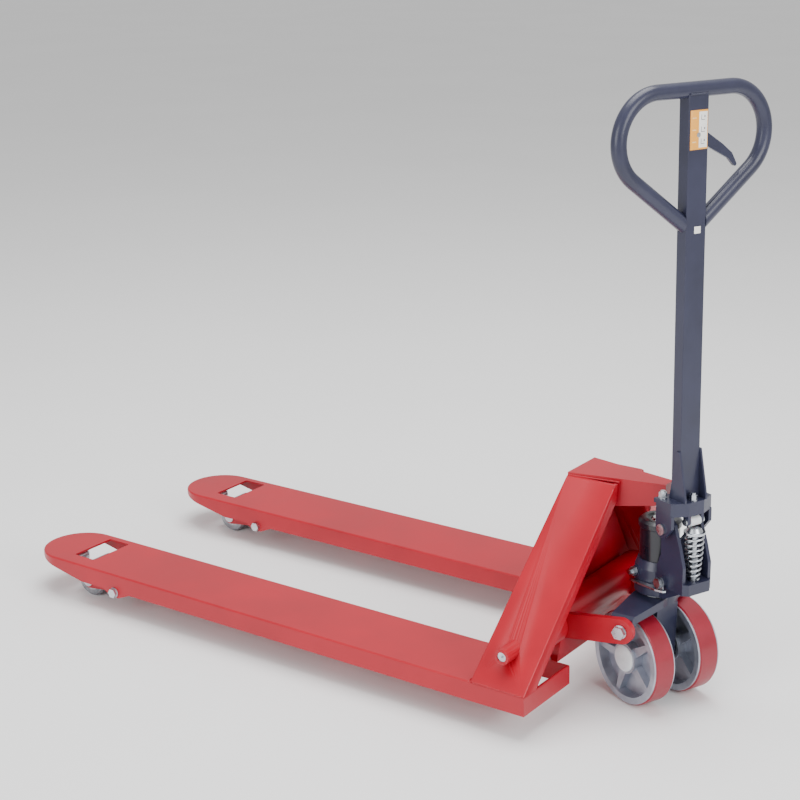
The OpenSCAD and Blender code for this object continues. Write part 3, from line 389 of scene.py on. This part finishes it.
unit_turn = math.radians(-22.75)
low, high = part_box("pump_spring")
foot, top = low.z, high.z
axis_x, axis_y = (low.x + high.x) / 2, (low.y + high.y) / 2
wire_r, coil_r, foot_taper = 0.0022, 0.018, 0.006
turns, steps = 8.5, 36
helix = []
for i in range(int(turns * steps) + 1):
    t = i / (turns * steps)
    a = 2 * math.pi * turns * t + unit_turn
    r = coil_r - wire_r - foot_taper * (1 - t) ** 2
    z = foot + wire_r + t * (top - foot - 2 * wire_r)
    helix.append((axis_x + r * math.cos(a), axis_y + r * math.sin(a), z))
spring = wire("spring_wire", helix, wire_r)
on_body(spring, "pump", "zinc", "pump_spring")
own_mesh(spring)
print("spring with", len(spring.data.vertices), "vertices")

# %% [markdown]
# ## Weld beads
# Short rippled beads where plates and tubes are joined, painted over with the piece.

# %%
bead_step, ripple = 0.0006, 0.0024


def bead(name, points, radius, body, slot_name):
    """A weld along straight stretches between points, its ends thin and its length rippled."""
    line = []
    for a, b in zip(points, points[1:]):
        a, b = Vector(a), Vector(b)
        count = max(2, round((b - a).length / bead_step))
        line += [a.lerp(b, i / count) for i in range(count)]
    line.append(Vector(points[-1]))
    swell = [1 + 0.16 * math.sin(2 * math.pi * i * bead_step / ripple) for i in range(len(line))]
    swell[0] = swell[-1] = 0.4
    return on_body(wire(name, line, radius, swell, 1), body, slot_name)


rim_width = 0.0365
head_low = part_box("head")[0]
head_bead_z, head_bead_long = 0.4155, 0.1
head_taper = 0.035 / 0.2275             # how fast the head narrows toward its nose
apron_x = head_low.x + 0.098
beads = 0
for side, sign in (("left", -1), ("right", 1)):
    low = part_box("upright_" + side)[0]
    fork_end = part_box("fork_" + side)[1].x
    y = sign * outer_y
    inner = sign * (outer_y - rim_width)
    foot_y, rim_z = y - sign * 0.001, low.z + 0.001
    narrow_y = head_y - head_bead_long * head_taper
    bead("foot_weld_" + side, [(low.x + 0.004, foot_y, low.z), (fork_end - 0.004, foot_y, low.z)],
         0.0016, "chassis", "frame_red")
    bead("rim_weld_" + side, [(low.x, y - sign * 0.004, rim_z), (low.x, inner, rim_z)],
         0.0022, "chassis", "frame_red")
    bead("head_weld_" + side, [(head_low.x + 0.003, sign * head_y, head_bead_z),
                               (head_low.x + head_bead_long, sign * narrow_y, head_bead_z)],
         0.002, "chassis", "frame_red")
    bead("apron_weld_" + side, [(apron_x, sign * 0.0575, 0.4105), (apron_x, sign * 0.0490, 0.4125)],
         0.0026, "chassis", "frame_red")
    beads += 4
print(beads, "beads")

# %% [markdown]
# ## Handle label
# A plain printed plate on the front of the tube, and a small blank one below the grip.

# %%
lean = math.radians(1)
hinge_out, hinge_z = 0.058, 0.356
pump_x, pump_y = math.cos(unit_turn), math.sin(unit_turn)
handle_x = Vector((math.cos(lean) * pump_x, math.cos(lean) * pump_y, math.sin(lean)))
handle_y = Vector((-pump_y, pump_x, 0))
handle_z = handle_x.cross(handle_y)
bearing_low, bearing_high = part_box("thrust_bearing")
king_x = (bearing_low.x + bearing_high.x) / 2
hinge = Vector((king_x + hinge_out * pump_x, hinge_out * pump_y, hinge_z))


def on_tube(out, across, height):
    """A point given along the handle's own axes, as drawn in CAD."""
    return hinge + handle_x * (out - hinge_out) + handle_y * across + handle_z * (height - hinge_z)


def plate(name, across, height, width, tall, out, thick, material):
    """A thin plate with round corners on the tube's front face."""
    deselect()
    bpy.ops.mesh.primitive_cube_add(size=1, location=(0, 0, 0))
    piece = bpy.context.object
    piece.name = name
    for vertex in piece.data.vertices:
        x, y, z = vertex.co
        vertex.co = on_tube(out + (x + 0.5) * thick, across + y * width, height + z * tall)
    bpy.ops.object.mode_set(mode="EDIT")
    bpy.ops.mesh.select_all(action="SELECT")
    bpy.ops.mesh.bevel(offset=min(thick * 0.4, 0.0003), segments=2, affect="EDGES")
    bpy.ops.object.mode_set(mode="OBJECT")
    bpy.ops.object.shade_smooth_by_angle(angle=math.radians(40))
    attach(piece, "handle")
    piece.data.materials.append(material)
    return piece


# %%
orange = surface("printed_orange_film", "#f0a63a", "#eba136", 3, 0.002, 60, (0.35, 0.42))
pale_orange = surface("printed_pale_film", "#f6cf92", "#f2c888", 3, 0.002, 60, (0.35, 0.42))
white = surface("printed_white_film", "#f0eee8", "#e8e6e0", 3, 0.002, 60, (0.35, 0.42))
ink = surface("printed_dark_ink", "#6a6470", "#5d5863", 2, 0.001, 30, (0.4, 0.5))
tube_out, tube_deep = 0.0763, 0.0244
ground_thick, film_thick, print_thick = 0.0007, 0.0003, 0.0002
film_out = tube_out + ground_thick
print_out = film_out + film_thick
label_high, row_gap = 1.0615, 0.020
plate("label_ground", 0.001, label_high, 0.038, 0.066, tube_out, ground_thick, orange)
plate("label_panel", 0.0095, label_high, 0.018, 0.060, film_out, film_thick, white)
for k in range(3):
    height = label_high + row_gap * (1 - k)
    plate(f"label_post_{k}", 0.0055, height + 0.001, 0.0009, 0.008, print_out, print_thick, ink)
    plate(f"label_bar_{k}", 0.0090, height - 0.0035, 0.0078, 0.0009, print_out, print_thick, ink)
    plate(f"label_dot_{k}", 0.0125, height + 0.002, 0.0024, 0.0030, print_out, print_thick, ink)
    plate(f"label_line_{k}", -0.0095, height, 0.0085, 0.0020, film_out, film_thick, pale_orange)
weld_high, weld_half = 1.1209, 0.0205
top_weld = [on_tube(tube_out + 0.0002, y, weld_high) for y in (-weld_half, weld_half)]
bead("grip_weld_top", top_weld, 0.0022, "handle", "unit_grey")
flange_high = 0.411
for side, sign in (("left", -1), ("right", 1)):
    for name, out in (("front", tube_out + 0.0004), ("back", tube_out - tube_deep)):
        ends = [on_tube(out, sign * across, flange_high) for across in (0.0165, weld_half)]
        bead(f"tube_weld_{name}_{side}", ends, 0.0018, "handle", "unit_grey")
plate("blank_tag", 0.003, 0.892, 0.014, 0.012, tube_out, 0.0006, white)
print("label pieces on the tube")

# %% [markdown]
# ## Web between the cheeks
# The pump's casting is closed behind the spring by a thin saddle-shaped wall.

# %%
deselect()
bpy.ops.mesh.primitive_grid_add(x_subdivisions=12, y_subdivisions=1, size=2, location=(0, 0, 0))
web = bpy.context.object
web.name = "cheek_web"
web_foot, web_top, web_dip = 0.262, 0.334, 0.016
web_half, web_out = 0.0262, 0.043
for vertex in web.data.vertices:
    across, upward = vertex.co.x, (vertex.co.y + 1) / 2
    height = web_foot + upward * (web_top - web_dip * (1 - across ** 2) - web_foot)
    side_step = across * web_half
    vertex.co = (king_x + web_out * pump_x - side_step * pump_y,
                 web_out * pump_y + side_step * pump_x, height)
wall = web.modifiers.new("wall", "SOLIDIFY")
wall.thickness = 0.005
wall.offset = 0
bpy.ops.object.modifier_apply(modifier=wall.name)
rounding = web.modifiers.new("rounding", "BEVEL")
rounding.width = 0.0012
rounding.segments = 2
rounding.limit_method = "ANGLE"
rounding.angle_limit = math.radians(50)
bpy.ops.object.modifier_apply(modifier=rounding.name)
bpy.ops.object.shade_smooth_by_angle(angle=math.radians(35))
on_body(web, "pump", "unit_grey")
print("web with", len(web.data.polygons), "faces")
